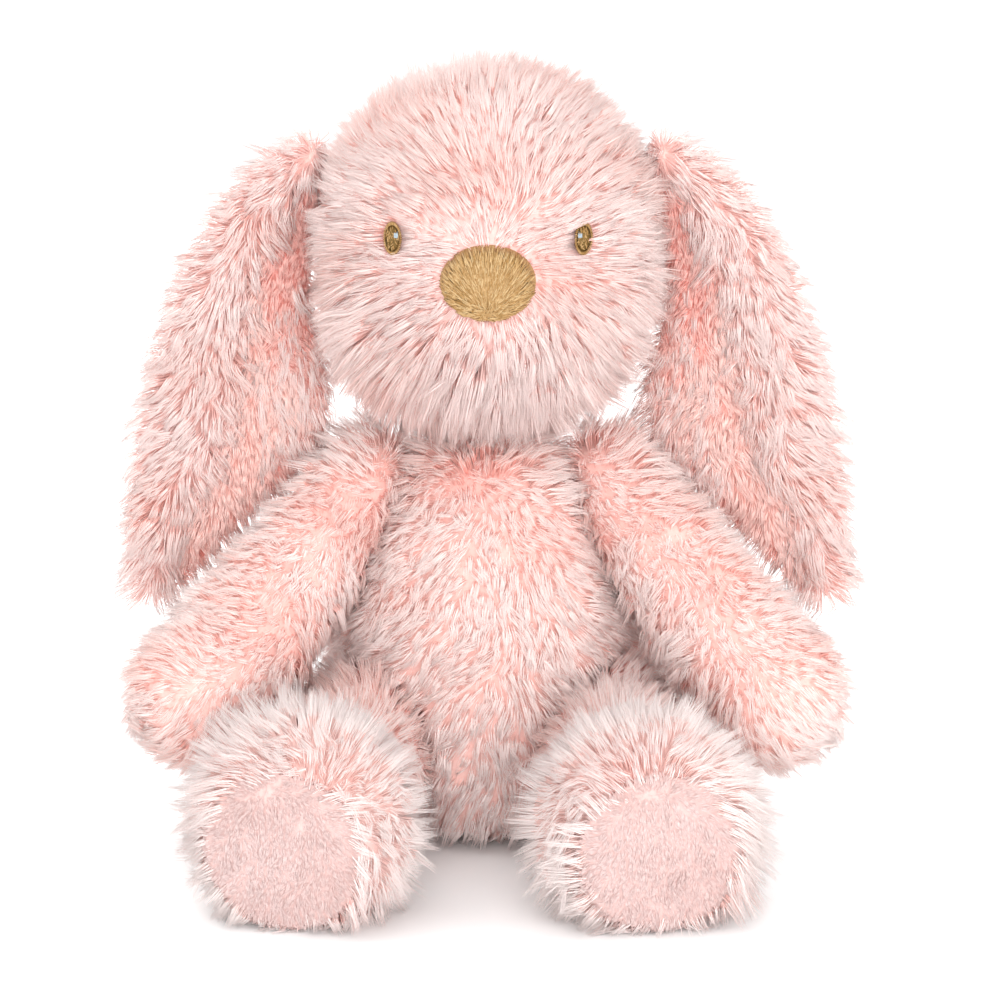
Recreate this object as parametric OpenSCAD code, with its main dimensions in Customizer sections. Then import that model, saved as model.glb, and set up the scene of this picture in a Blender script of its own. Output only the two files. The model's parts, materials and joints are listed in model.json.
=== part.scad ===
// Sitting lop-eared plush rabbit, stuffed with fibrefill.
// It faces -Y, stands on z = 0, and its origin is the middle of its footprint box.
// The outer surfaces lie about halfway up the long pile.

/* [Body] */
// Distance of the body's upright axis behind the origin
body_y = 30; // [27:1:33]
// Radius of the belly at its widest
belly_r = 57; // [54:1:60]
// Height of the widest part of the belly
belly_z = 46; // [42:1:50]
// Radius of the flat seat
seat_r = 37; // [34:1:40]
// Height of the seam that joins the seat panel
seat_seam_z = 7; // [6:1:10]
// Height of the top of the body
body_top = 143; // [142:1:144]
// Thickness of the long-pile fabric
fabric_t = 4; // [3:0.5:5]

/* [Head] */
// Radius of the head seen from above
head_r = 56; // [52:1:58]
// Half of the head's height
head_half = 57; // [56:0.5:57.5]
// Height of the middle of the head
head_z = 205; // [205:1:208]
// How far the head leans in front of the body's axis
head_lean = 12; // [8:1:16]
// Width of the gusset that runs over the crown
gusset_w = 34; // [28:1:40]
// Radius of the muzzle
muzzle_r = 30; // [27:1:32]
// Radius of the stuffed neck
neck_r = 14; // [12:1:15]

/* [Face] */
// Width of the embroidered nose
nose_w = 33; // [28:1:34]
// Height of the embroidered nose
nose_h = 25.5; // [22:0.5:27]
// Height of the middle of the nose
nose_z = 199; // [195:1:202]
// Height of the embroidered eyes
eye_h = 11; // [9:0.5:13]
// Distance of each eye from the middle
eye_x = 31; // [28:1:34]
// Height of the eyes' middles
eye_z = 212; // [208:1:214]

/* [Ears] */
// Distance of an ear's root from the middle
ear_root_x = 54; // [53:1:56]
// Height of an ear's root
ear_root_z = 228; // [226:1:230]
// Half of an ear's width at its root
ear_root_half = 9; // [8:0.5:10]
// Greatest distance of an ear from the middle
ear_reach = 124; // [121:1:126]
// Height of an ear's tip
ear_tip_z = 78; // [76:1:84]

/* [Arms] */
// Distance of a shoulder's centre from the middle
shoulder_x = 40; // [40:1:42]
// Height of the shoulders' centres
shoulder_z = 121; // [119:1:123]
// Radius of an arm at the shoulder
shoulder_r = 18; // [17:0.5:18.5]
// Radius of a hand
hand_r = 25; // [24:0.5:25]
// Distance from the shoulder's centre to the hand's centre
arm_len = 101; // [98:1:102]
// Angle that the arms spread outwards from straight down
arm_spread = 33; // [32:0.5:34]
// Angle that the arms reach forwards from straight down
arm_reach = 42; // [41:0.5:44]

/* [Legs] */
// Distance of a hip's centre from the middle
hip_x = 38; // [37:1:40]
// Distance of the hips' centres in front of the body's axis
hip_fwd = 22; // [20:1:24]
// Height of the hips' centres
hip_z = 35; // [34:1:36]
// Angle that the legs slope down towards the feet
leg_slope = 4; // [3:0.5:5]
// Radius of the hip's ball
hip_r = 28; // [27:0.5:28.5]
// Radius of the thigh
thigh_r = 24.5; // [23:0.5:24.5]
// Radius of the foot at its fattest
foot_r = 35; // [33:0.5:36]
// Radius of the flat sole
sole_r = 25.5; // [23:0.5:26]
// Distance from the hip's centre to the sole
leg_len = 113; // [109:1:115]
// Angle that the rabbit's right leg, at -X, points outwards
splay_minus_x = 14; // [11:0.5:15]
// Angle that the rabbit's left leg, at +X, points outwards
splay_plus_x = 8.5; // [5:0.5:10]
// Angle that a leg can swing down from level
leg_down = 40; // [0:5:40]
// Angle that a leg can lift from level
leg_up = 4; // [0:1:8]

/* [Tail and label] */
// Radius of the tail
tail_r = 15; // [12:1:17]
// Height of the middle of the tail
tail_z = 27; // [24:1:32]
// Width of the sewn-in label
label_w = 20; // [16:1:24]
// Length of the label outside its seam
label_len = 26; // [20:1:30]

/* [Hidden] */
$fn = 48;
// Clearance between a fabric layer and what it encloses or turns in
gap = 0.4;
curve_steps = 7;
far = 400;
thread_r = 0.5;

// How far the body's outline bulges past the straight lines between its widest and narrowest places
seat_bulge = 14;
flank_bulge_low = 28;
flank_bulge_high = 30;
shoulder_bulge_r = 34;

// How square the outline of the head is above and below its middle, 1 for a plain ellipse
dome_power = 0.88;
cheek_power = 0.66;
muzzle_drop = 12;
muzzle_fwd = 31;
neck_z = body_top + 2;
head_y = body_y - head_lean;

nose_t = 2.4;
eye_t = 1.4;
eye_w_share = 0.56;
eye_w = eye_h * eye_w_share;
glint_t = 0.8;
glint_w = 1.7;
glint_h = 3;
glint_inwards = 1.2;
glint_up = 1.5;

ear_back = 15;
ear_y = head_y + ear_back;
ear_stations = 13;
ear_pocket_depth = 18;
ear_pocket_room = 1;

heel_corner_r = 24;
foot_straight = 25;
sole_seam = 1;

tail_sunk_share = 0.65;
tail_y = body_y + belly_r + tail_r * (1 - tail_sunk_share);

label_z = 52;
label_t = 0.8;
label_tuck = 6;
label_droop = 12;
label_gap = 0.2;

stitch_count = 9;
stitch_deg = 7;
first_stitch_at = 0.06;
stitch_step = 0.05;

// ---------- curves and outlines ----------

// A point of the cubic curve through a and d, steered by b and c
function cubic(a, b, c, d, t) =
  a * pow(1 - t, 3) + 3 * b * t * pow(1 - t, 2) + 3 * c * t * t * (1 - t) + d * pow(t, 3);

// The side of the body, from the seat to the belly and from the belly to the top
function belly_low(t) =
  cubic([seat_r, 0], [seat_r + seat_bulge, 0],
    [belly_r, belly_z - flank_bulge_low], [belly_r, belly_z], t);
function belly_high(t) =
  cubic([belly_r, belly_z], [belly_r, belly_z + flank_bulge_high],
    [shoulder_bulge_r, body_top], [0, body_top], t);

body_side = concat(
  [for (i = [0 : curve_steps - 1]) belly_low(i / curve_steps)],
  [for (i = [0 : 2 * curve_steps]) belly_high(i / (2 * curve_steps))]
);

// The side of the head: a dome above, and fuller, squarer cheeks below
head_side = [for (a = [-90 : 10 : 90])
  [head_r * pow(max(cos(a), 0), a < 0 ? cheek_power : dome_power), head_half * sin(a)]];

// A full outline from the points of its right side, grown or shrunk all round
module full_outline(side, grow) {
  offset(delta = grow) union() {
    polygon(concat([[0, side[0][1]]], side, [[0, side[len(side) - 1][1]]]));
    mirror([1, 0]) polygon(concat([[0, side[0][1]]], side, [[0, side[len(side) - 1][1]]]));
  }
}

// The right half of an outline, ready to revolve
module half_plane() {
  intersection() {
    children();
    translate([0, -far]) square([far, 2 * far]);
  }
}

// The right half of a wall of the given thickness
module wall_outline(side, wall) {
  half_plane() difference() {
    full_outline(side, 0);
    full_outline(side, -wall);
  }
}

// ---------- places ----------

// The frame of a shoulder, with +Z along the arm
module at_shoulder(side) {
  translate([side * shoulder_x, body_y, shoulder_z])
    rotate([180 - arm_reach, 0, 0])
      rotate([0, side * arm_spread, 0])
        children();
}

function splay(side) = side < 0 ? splay_minus_x : splay_plus_x;

// The frame of a hip, with -Y along the leg and X along the hip's axis
module at_hip(side) {
  translate([side * hip_x, body_y - hip_fwd, hip_z])
    rotate([0, 0, side * splay(side)])
      rotate([leg_slope, 0, 0])
        children();
}

// Everything above a height
module above(height) {
  intersection() {
    children();
    translate([-far, -far, height]) cube(2 * far);
  }
}

// ---------- body ----------

// The room that the legs, arms and neck need in the body
module body_sockets() {
  for (side = [-1, 1]) {
    arm_room(side);
    at_hip(side) leg_room();
  }
  translate([0, body_y, neck_z]) sphere(neck_r + gap);
}

// The room that an arm takes as it turns about its shoulder, clear to the other side of the body
module arm_room(side) {
  translate([side * shoulder_x, body_y, shoulder_z]) rotate([0, side * 90, 0])
    rotate_extrude() half_plane() rotate(arm_spread - 90) arm_outline(gap);
}

// The hip's ball, and the thigh swung from its lowest to its highest place
module leg_room() {
  room_len = 60;
  thigh_gap = 1;
  sphere(hip_r + gap);
  hull() {
    for (lift = [-leg_down, leg_up])
      rotate([90 - lift, 0, 0]) cylinder(r = thigh_r + thigh_gap, h = room_len);
  }
}

module body_wall(first_angle, sweep) {
  difference() {
    translate([0, body_y, 0]) rotate_extrude(angle = sweep, start = first_angle)
      difference() {
        wall_outline(body_side, fabric_t);
        square([far, seat_seam_z]);
      }
    body_sockets();
  }
}

module torso_front_panel() {
  color("pink") body_wall(180, 180);
}

module torso_back_panel(side) {
  color("lightpink") body_wall(side > 0 ? 0 : 90, 90);
}

module seat_panel() {
  color("pink") difference() {
    translate([0, body_y, 0]) rotate_extrude() intersection() {
      wall_outline(body_side, fabric_t);
      square([far, seat_seam_z]);
    }
    body_sockets();
  }
}

module torso_stuffing() {
  color("white") difference() {
    translate([0, body_y, 0])
      rotate_extrude() half_plane() full_outline(body_side, -fabric_t - gap);
    body_sockets();
  }
}

// Hand-sewn ladder stitches that close the back seam
module back_seam_thread() {
  color("mistyrose") for (i = [0 : stitch_count - 1]) {
    p = belly_high(first_stitch_at + stitch_step * i);
    translate([0, body_y, p[1]])
      rotate_extrude(angle = stitch_deg, start = 90 - stitch_deg / 2)
        translate([p[0] + 2 * thread_r, 0]) circle(thread_r);
  }
}

// A blank label in the side seam, its plane in the plane of the seam
module care_label() {
  color("white") difference() {
    translate([belly_r - label_tuck, body_y - label_t / 2, label_z])
      rotate([0, label_droop, 0])
        translate([0, 0, -label_w / 2]) cube([label_len + label_tuck, label_t, label_w]);
    translate([0, body_y, 0]) rotate_extrude() half_plane() full_outline(body_side, label_gap);
  }
}

module tail_ball(radius, clearance) {
  difference() {
    translate([0, tail_y, tail_z]) sphere(radius);
    translate([0, body_y, 0]) rotate_extrude() half_plane() full_outline(body_side, clearance);
  }
}

module tail_shell() {
  color("mistyrose") difference() {
    tail_ball(tail_r, gap / 2);
    translate([0, tail_y, tail_z]) sphere(tail_r - fabric_t);
  }
}

module tail_stuffing() {
  color("white") tail_ball(tail_r - fabric_t - gap, gap);
}

// ---------- neck ----------

module neck_stuffing() {
  color("white") translate([0, body_y, neck_z]) sphere(neck_r);
}

// The ring of thread that gathers the neck
module neck_seam_thread() {
  color("mistyrose") translate([0, body_y, neck_z - 1])
    rotate_extrude() translate([neck_r + 2 * thread_r, 0]) circle(thread_r);
}

// ---------- head ----------

// The whole head with its muzzle, grown or shrunk all round
module head_form(grow) {
  translate([0, head_y, head_z]) {
    rotate_extrude() half_plane() full_outline(head_side, grow);
    translate([0, -muzzle_fwd, -muzzle_drop]) sphere(muzzle_r + grow);
  }
}

// The neck's ball and the two pockets in which the ears turn
module head_sockets() {
  translate([0, body_y, neck_z]) sphere(neck_r + gap);
  for (side = [-1, 1])
    translate([side * ear_root_x, ear_y, ear_root_z])
      rotate([90, 0, 0])
        cylinder(r = ear_root_half + ear_pocket_room, h = ear_pocket_depth, center = true);
}

module head_wall() {
  difference() {
    head_form(0);
    head_form(-fabric_t);
    head_sockets();
  }
}

module head_gusset() {
  color("mistyrose") intersection() {
    head_wall();
    translate([-gusset_w / 2, -far, 0]) cube([gusset_w, 2 * far, far]);
  }
}

module head_side_panel(side) {
  color("pink") intersection() {
    head_wall();
    translate([side > 0 ? gusset_w / 2 : -far - gusset_w / 2, -far, 0]) cube([far, 2 * far, far]);
  }
}

module head_stuffing() {
  color("white") difference() {
    head_form(-fabric_t - gap);
    head_sockets();
  }
}

// A patch of embroidery of the children's outline, between two heights above the head
module on_face(x, z, low, high) {
  difference() {
    intersection() {
      head_form(high);
      translate([x, head_y - head_r / 2, z]) rotate([90, 0, 0]) linear_extrude(head_r) children();
    }
    head_form(low);
  }
}

module nose_embroidery() {
  color("peru") on_face(0, nose_z, 0, nose_t) resize([nose_w, nose_h]) circle(nose_w);
}

module eye(side) {
  color("darkgoldenrod") on_face(side * eye_x, eye_z, 0, eye_t) resize([eye_w, eye_h]) circle(eye_h);
}

module eye_glint(side) {
  color("lightsteelblue")
    on_face(side * (eye_x - glint_inwards), eye_z + glint_up, eye_t + gap / 2, eye_t + glint_t)
      resize([glint_w, glint_h]) circle(glint_h);
}

// ---------- ears ----------

// The ear's upper, outer edge in X and Z, from the root to the tip
function ear_outer_edge(t) = cubic(
  [ear_root_x + 3, ear_root_z + ear_root_half], [ear_reach - 22, ear_root_z],
  [ear_reach + 6, ear_tip_z + 54], [ear_reach - 4, ear_tip_z + 2], t);

// The inner edge: past the cheek, then swelling towards the neck before the tip
ear_inner_edge_x = [
  [0, ear_root_x + 1], [0.15, 59], [0.3, 62], [0.45, 56], [0.6, 54],
  [0.72, 63], [0.85, 86], [1, ear_reach - 9]
];
ear_inner_edge_z = [
  [0, ear_root_z - ear_root_half], [0.15, 203], [0.3, 183], [0.45, 160], [0.6, 139],
  [0.72, 125], [0.85, 106], [1, ear_tip_z]
];
function ear_inner_edge(t) = [lookup(t, ear_inner_edge_x), lookup(t, ear_inner_edge_z)];
function ear_thick(t) = lookup(t, [[0, 0.8], [0.3, 1], [0.6, 1], [0.8, 0.7], [1, 0.4]]);

// Cross-sections as [place across the width, place from front to back], -1 at the inner edge.
// The outer fabric wraps round the ear's outer edge and comes forward as a fold.
outer_section = [
  [-1, 0], [-0.6, 5], [0, 6.5], [0.6, 5], [0.95, 1], [0.95, -3],
  [0.65, -8], [0.25, -8], [0.12, -5], [0.12, -0.6], [-0.5, -0.2]
];
lining_section = [
  [-0.92, -0.6], [-0.5, -0.7], [0.08, -1.1], [0.08, -4.6], [-0.3, -5], [-0.75, -3.6]
];

function ear_point(t, p) =
  let (share = (p[0] + 1) / 2, at = ear_inner_edge(t) * (1 - share) + ear_outer_edge(t) * share)
  [at[0], ear_y + p[1] * ear_thick(t), at[1]];

module ear_layer(section) {
  m = len(section);
  last = ear_stations - 1;
  points = [for (i = [0 : last]) for (p = section) ear_point(i / last, p)];
  sides = [for (i = [0 : last - 1]) for (j = [0 : m - 1])
    [(i + 1) * m + j, (i + 1) * m + (j + 1) % m, i * m + (j + 1) % m, i * m + j]];
  ends = [[for (j = [0 : m - 1]) j], [for (j = [m - 1 : -1 : 0]) last * m + j]];
  polyhedron(points, concat(sides, ends), convexity = 4);
}

module ear_outer(side) {
  color("lightpink") mirror([side < 0 ? 1 : 0, 0, 0]) ear_layer(outer_section);
}

module ear_lining(side) {
  color("lightcoral") mirror([side < 0 ? 1 : 0, 0, 0]) ear_layer(lining_section);
}

// ---------- arms ----------

// The arm's outline along +Z: a small ball at the shoulder and a larger one for the hand
module arm_outline(grow) {
  hull() {
    circle(shoulder_r + grow);
    translate([0, arm_len]) circle(hand_r + grow);
  }
}

module arm_panel(side, first_angle) {
  color("pink") at_shoulder(side) rotate_extrude(angle = 180, start = first_angle)
    half_plane() difference() {
      arm_outline(0);
      arm_outline(-fabric_t);
    }
}

module arm_front_panel(side) {
  arm_panel(side, 0);
}

module arm_back_panel(side) {
  arm_panel(side, 180);
}

module arm_stuffing(side) {
  color("white") at_shoulder(side) rotate_extrude() half_plane() arm_outline(-fabric_t - gap);
}

// ---------- legs ----------

// The leg's outline along +Z: the hip's ball, the thigh, the round foot and the flat sole
module leg_outline(grow) {
  foot_at = leg_len - foot_straight;
  offset(delta = grow) union() {
    circle(hip_r);
    translate([-thigh_r, 0]) square([2 * thigh_r, foot_at]);
    hull() {
      for (side = [-1, 1])
        translate([side * (foot_r - heel_corner_r), foot_at]) circle(heel_corner_r);
      translate([-sole_r, foot_at]) square([2 * sole_r, leg_len - foot_at]);
    }
  }
}

// The whole leg, grown or shrunk all round, and flat where it rests on the floor
module leg_form(side, grow) {
  above(-grow) at_hip(side) rotate([90, 0, 0])
    rotate_extrude() half_plane() leg_outline(grow);
}

// The leg's half on its outer side, which is +X on the +X leg
module leg_half(side, outer) {
  intersection() {
    children();
    at_hip(side) translate([side * outer > 0 ? 0 : -far, -far, -far]) cube([far, 2 * far, 2 * far]);
  }
}

module leg_panel(side, outer) {
  color("pink") leg_half(side, outer) difference() {
    leg_form(side, 0);
    leg_form(side, -fabric_t);
    sole_place(side) translate([0, 0, -fabric_t])
      cylinder(r = sole_r - sole_seam, h = 3 * fabric_t);
  }
}

// The frame of a sole, with +Z out of its face and its back at z = 0
module sole_place(side) {
  at_hip(side) translate([0, fabric_t - leg_len, 0]) rotate([90, 0, 0]) children();
}

module sole(side) {
  color("lightcoral") sole_place(side) cylinder(r = sole_r - sole_seam, h = fabric_t);
}

module leg_stuffing(side) {
  color("white") leg_form(side, -fabric_t - gap);
}

torso_front_panel();
torso_back_panel(-1);  // torso_back_panel_minus_x
torso_back_panel(1);  // torso_back_panel_plus_x
seat_panel();
torso_stuffing();
back_seam_thread();
care_label();
tail_shell();
tail_stuffing();
neck_stuffing();
neck_seam_thread();
head_side_panel(-1);  // head_side_panel_minus_x
head_side_panel(1);  // head_side_panel_plus_x
head_gusset();
head_stuffing();
nose_embroidery();
eye(-1);  // eye_minus_x
eye(1);  // eye_plus_x
eye_glint(-1);  // eye_glint_minus_x
eye_glint(1);  // eye_glint_plus_x
ear_outer(-1);  // ear_outer_minus_x
ear_lining(-1);  // ear_lining_minus_x
ear_outer(1);  // ear_outer_plus_x
ear_lining(1);  // ear_lining_plus_x
arm_front_panel(-1);  // arm_front_panel_minus_x
arm_back_panel(-1);  // arm_back_panel_minus_x
arm_stuffing(-1);  // arm_stuffing_minus_x
arm_front_panel(1);  // arm_front_panel_plus_x
arm_back_panel(1);  // arm_back_panel_plus_x
arm_stuffing(1);  // arm_stuffing_plus_x
leg_panel(-1, 1);  // leg_outer_panel_minus_x
leg_panel(-1, -1);  // leg_inner_panel_minus_x
sole(-1);  // sole_minus_x
leg_stuffing(-1);  // leg_stuffing_minus_x
leg_panel(1, 1);  // leg_outer_panel_plus_x
leg_panel(1, -1);  // leg_inner_panel_plus_x
sole(1);  // sole_plus_x
leg_stuffing(1);  // leg_stuffing_plus_x
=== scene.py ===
import json
import math

import bpy
import numpy as np
from mathutils import Matrix, Vector, kdtree


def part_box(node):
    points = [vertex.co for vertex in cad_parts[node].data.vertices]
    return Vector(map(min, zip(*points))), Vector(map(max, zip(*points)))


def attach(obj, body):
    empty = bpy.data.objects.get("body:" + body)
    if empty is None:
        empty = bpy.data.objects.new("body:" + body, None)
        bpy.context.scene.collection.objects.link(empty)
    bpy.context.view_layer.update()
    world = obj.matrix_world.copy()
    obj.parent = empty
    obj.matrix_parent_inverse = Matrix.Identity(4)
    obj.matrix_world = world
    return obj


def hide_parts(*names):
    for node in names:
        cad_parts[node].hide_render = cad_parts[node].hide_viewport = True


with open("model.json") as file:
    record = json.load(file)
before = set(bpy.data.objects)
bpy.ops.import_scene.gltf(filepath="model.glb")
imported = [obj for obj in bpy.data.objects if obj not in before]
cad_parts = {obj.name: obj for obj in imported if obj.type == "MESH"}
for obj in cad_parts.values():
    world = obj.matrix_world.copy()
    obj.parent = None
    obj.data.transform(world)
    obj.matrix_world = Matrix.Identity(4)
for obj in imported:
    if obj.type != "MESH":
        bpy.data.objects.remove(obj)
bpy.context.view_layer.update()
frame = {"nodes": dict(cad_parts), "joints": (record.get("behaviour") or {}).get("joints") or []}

# Lengths are in millimetres up to the moment a mesh is made, and directions are unit vectors.
MM = 0.001
RNG = np.random.default_rng(20)
NODES = frame["nodes"]
JOINTS = {j["name"]: np.array(j["pos_m"]) / MM for j in frame["joints"]}
UP = np.array([0.0, 0.0, 1.0])


def box_mm(node):
    low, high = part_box(node)
    return np.array(low) / MM, np.array(high) / MM


def middle(node):
    low, high = box_mm(node)
    return (low + high) / 2


def unit(v):
    return v / np.maximum(np.linalg.norm(v, axis=-1, keepdims=True), 1e-9)


def tangential(v, n):
    """The part of v that lies in the surface with normal n, as a unit vector."""
    return unit(v - (v * n).sum(-1, keepdims=True) * n)


# ---------- places ----------

BODY_AXIS = middle("torso_stuffing") * [0, 1, 0]
NOSE_LOW, NOSE_HIGH = box_mm("nose_embroidery")
NOSE_MID = (NOSE_LOW + NOSE_HIGH) / 2
GUSSET_HALF = box_mm("head_gusset")[1][0]
SEAT_SEAM_Z = box_mm("seat_panel")[1][2]
SIDES = {"minus_x": -1, "plus_x": 1}
LIMB = {"minus_x": "right", "plus_x": "left"}

# How the limbs lie, in degrees: the legs' splay and slope, and how far the arms reach forwards and outwards.
SPLAY = {"minus_x": 14.0, "plus_x": 8.5}
LEG_SLOPE = 4.0
ARM_REACH = 42.0
ARM_SPREAD = 33.0

# The forms of the head, the muzzle and the legs under their pile.
HEAD_MID = middle("head_stuffing") * [1, 0, 0] + [0, 18.0, 205.0]
HEAD_R = 56.0
HEAD_HALF = 57.0
MUZZLE = np.array([0.0, -13.0, 193.0])
MUZZLE_R = 30.0
LEG_LEN = 113.0
FOOT_AT = 88.0
SOLE_R = 25.6


def turned(x_deg=0.0, y_deg=0.0, z_deg=0.0):
    """A rotation about X, then Y or Z, as OpenSCAD nests them: the first one named is the outermost."""
    m = Matrix.Identity(3)
    for angle, axis in ((z_deg, "Z"), (x_deg, "X"), (y_deg, "Y")):
        m = m @ Matrix.Rotation(math.radians(angle), 3, axis)
    return np.array(m)


ARM_FRAME = {k: turned(180 - ARM_REACH, s * ARM_SPREAD) for k, s in SIDES.items()}
LEG_FRAME = {k: turned(LEG_SLOPE, 0, s * SPLAY[k]) for k, s in SIDES.items()}
SHOULDER = {k: JOINTS[LIMB[k] + "_arm_swing"] for k in SIDES}
HIP = {k: JOINTS[LIMB[k] + "_leg_swing"] for k in SIDES}
EAR_ROOT = {k: JOINTS[LIMB[k] + "_ear_lift"] for k in SIDES}


# ---------- materials ----------


def linear(rgb):
    """An sRGB colour in 0..255 as a linear RGBA colour."""
    c = np.array(rgb) / 255
    return (*np.where(c < 0.04045, c / 12.92, ((c + 0.055) / 1.055) ** 2.4), 1.0)


FIBRE_ROUGHNESS = 0.9
FIBRE_SPECULAR = 0.1


def plain(name, rgb):
    """One tint of pile: fibres get their variety from strand to strand and from root to tip."""
    m = bpy.data.materials.new(name)
    m.use_nodes = True
    p = m.node_tree.nodes["Principled BSDF"]
    p.inputs["Base Color"].default_value = linear(rgb)
    p.inputs["Roughness"].default_value = FIBRE_ROUGHNESS
    p.inputs["Specular IOR Level"].default_value = FIBRE_SPECULAR
    m.diffuse_color = linear(rgb)
    return m


def fabric(name, dark, light, scale=900.0, roughness=0.85, bump=0.3, bump_mm=0.2, stretch=(1, 1, 1)):
    """A procedural textile: a fine noise between two colours, with the same noise as relief."""
    m = bpy.data.materials.new(name)
    m.use_nodes = True
    t = m.node_tree
    p = t.nodes["Principled BSDF"]
    p.inputs["Roughness"].default_value = roughness
    p.inputs["Specular IOR Level"].default_value = 0.25
    where = t.nodes.new("ShaderNodeTexCoord")
    size = t.nodes.new("ShaderNodeMapping")
    size.inputs["Scale"].default_value = stretch
    noise = t.nodes.new("ShaderNodeTexNoise")
    noise.inputs["Scale"].default_value = scale
    noise.inputs["Detail"].default_value = 3.0
    ramp = t.nodes.new("ShaderNodeValToRGB")
    ramp.color_ramp.elements[0].position = 0.3
    ramp.color_ramp.elements[1].position = 0.7
    ramp.color_ramp.elements[0].color = linear(dark)
    ramp.color_ramp.elements[1].color = linear(light)
    relief = t.nodes.new("ShaderNodeBump")
    relief.inputs["Strength"].default_value = bump
    relief.inputs["Distance"].default_value = bump_mm * MM
    t.links.new(where.outputs["Object"], size.inputs["Vector"])
    t.links.new(size.outputs["Vector"], noise.inputs["Vector"])
    t.links.new(noise.outputs["Fac"], ramp.inputs["Fac"])
    t.links.new(ramp.outputs["Color"], p.inputs["Base Color"])
    t.links.new(noise.outputs["Fac"], relief.inputs["Height"])
    t.links.new(relief.outputs["Normal"], p.inputs["Normal"])
    return m


def pile_tints(name, roots, tips):
    """Materials for the lower and upper parts of fibres, each in as many tints as given. The lower parts'
    deeper pink is painted shade and painted scattered light, for the depth of the pile. The first tint is
    painted shade, for places in the shade of another part, where real pile throws its own colour back and
    forth."""
    made = []
    for part, colours in (("low", roots), ("tip", tips)):
        for i, rgb in enumerate(colours):
            made.append(plain(f"{name}_{part}_{i}", rgb))
    return made


BACKING = fabric("pink_backing", (244, 193, 184), (248, 206, 198))
HEAD_BACKING = fabric("head_backing", (238, 196, 189), (242, 208, 202))
FOOT_BACKING = fabric("foot_backing", (240, 200, 193), (243, 212, 206))
SHORT_BACKING = fabric("short_pile_backing", (246, 184, 174), (249, 198, 189))
SOLE_BACKING = fabric("sole_backing", (214, 178, 172), (219, 187, 182))
FILLING = fabric("fibrefill_white", (225, 224, 222), (248, 247, 245), scale=260.0, bump=0.8, bump_mm=1.5)
SEWING = fabric("sewing_thread", (240, 190, 184), (250, 212, 206), scale=2500.0, bump_mm=0.1)
TAPE = fabric("label_satin", (240, 238, 234), (252, 251, 249), scale=1500.0, roughness=0.45, bump_mm=0.05,
              stretch=(1, 1, 6))
PINK = pile_tints("pink_pile", [(246, 180, 169), (250, 202, 193), (252, 210, 202)],
                  [(249, 210, 202), (252, 228, 223), (253, 235, 231)])
# Deeper coral tints for the ear lining near its inner edge: painted shade of the hollow beside the head.
HOLLOW_SHADE_PINK = pile_tints("hollow_shade_pile", [(238, 156, 144), (240, 164, 153), (243, 172, 161)],
                         [(245, 186, 176), (247, 193, 184), (249, 200, 191)])
HEAD_PINK = pile_tints("head_pile", [(239, 176, 165), (244, 194, 185), (246, 203, 196)],
                       [(240, 203, 196), (243, 219, 214), (246, 225, 221)])
FOOT_PINK = pile_tints("foot_pile", [(241, 186, 177), (245, 207, 200), (246, 214, 208)],
                       [(243, 210, 204), (246, 228, 225), (248, 235, 232)])
SHORT_PINK = pile_tints("short_pile", [(249, 194, 184), (251, 202, 192), (252, 208, 199)],
                        [(251, 206, 197), (252, 213, 205), (253, 219, 212)])
SOLE_PINK = pile_tints("sole_pile", [(210, 176, 171), (213, 181, 177), (216, 186, 182)],
                       [(214, 186, 182), (217, 191, 187), (220, 196, 193)])


def stitching(name, dark, light, roughness=0.45):
    return fabric(name, dark, light, scale=1800.0, roughness=roughness, bump_mm=0.08)


GOLD = [
    stitching("gold_thread_0", (150, 113, 64), (170, 134, 84)),
    stitching("gold_thread_1", (168, 132, 84), (186, 153, 107)),
    stitching("gold_thread_2", (184, 151, 104), (202, 174, 132)),
]
OLIVE = stitching("olive_thread", (94, 71, 33), (128, 100, 54), 0.5)
GLINT = stitching("glint_thread", (138, 154, 166), (188, 200, 208), 0.4)


# ---------- meshes ----------


def placed(name, data):
    """A new object in the scene."""
    o = bpy.data.objects.new(name, data)
    bpy.context.scene.collection.objects.link(o)
    return o


def mesh_object(name, verts, faces, materials, tint=None, smooth=True):
    """An object from points in mm and faces: lists of point numbers or arrays of equal-sided faces."""
    groups = faces if isinstance(faces, list) and isinstance(faces[0], np.ndarray) else None
    me = bpy.data.meshes.new(name)
    if groups is None:
        me.from_pydata([tuple(v) for v in np.asarray(verts) * MM], [], [tuple(f) for f in faces])
    else:
        sizes = np.concatenate([np.full(len(g), g.shape[1]) for g in groups])
        loops = np.concatenate([g.ravel() for g in groups]).astype(np.int32)
        me.vertices.add(len(verts))
        me.vertices.foreach_set("co", (np.asarray(verts) * MM).astype(np.float32).ravel())
        me.loops.add(len(loops))
        me.loops.foreach_set("vertex_index", loops)
        me.polygons.add(len(sizes))
        me.polygons.foreach_set("loop_start", np.concatenate([[0], np.cumsum(sizes)[:-1]]).astype(np.int32))
    for m in materials:
        me.materials.append(m)
    if tint is not None:
        me.polygons.foreach_set("material_index", np.asarray(tint, np.int32))
    me.polygons.foreach_set("use_smooth", np.full(len(me.polygons), smooth))
    me.update(calc_edges=True)
    me.validate()
    return placed(name, me)


def belongs(o, body, node=None):
    """Sets the body that o rides on, and hides the CAD node it stands for."""
    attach(o, body)
    if node:
        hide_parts(node)
    return o


def points_of(o):
    co = np.zeros(len(o.data.vertices) * 3, np.float32)
    o.data.vertices.foreach_get("co", co)
    return co.reshape(-1, 3).astype(float) / MM


def set_points(o, verts):
    o.data.vertices.foreach_set("co", (verts * MM).astype(np.float32).ravel())
    o.data.update()


def faces_of(o):
    return [tuple(p.vertices) for p in o.data.polygons]


def triangles(faces):
    return np.array([(f[0], f[i], f[i + 1]) for f in faces for i in range(1, len(f) - 1)])


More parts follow.
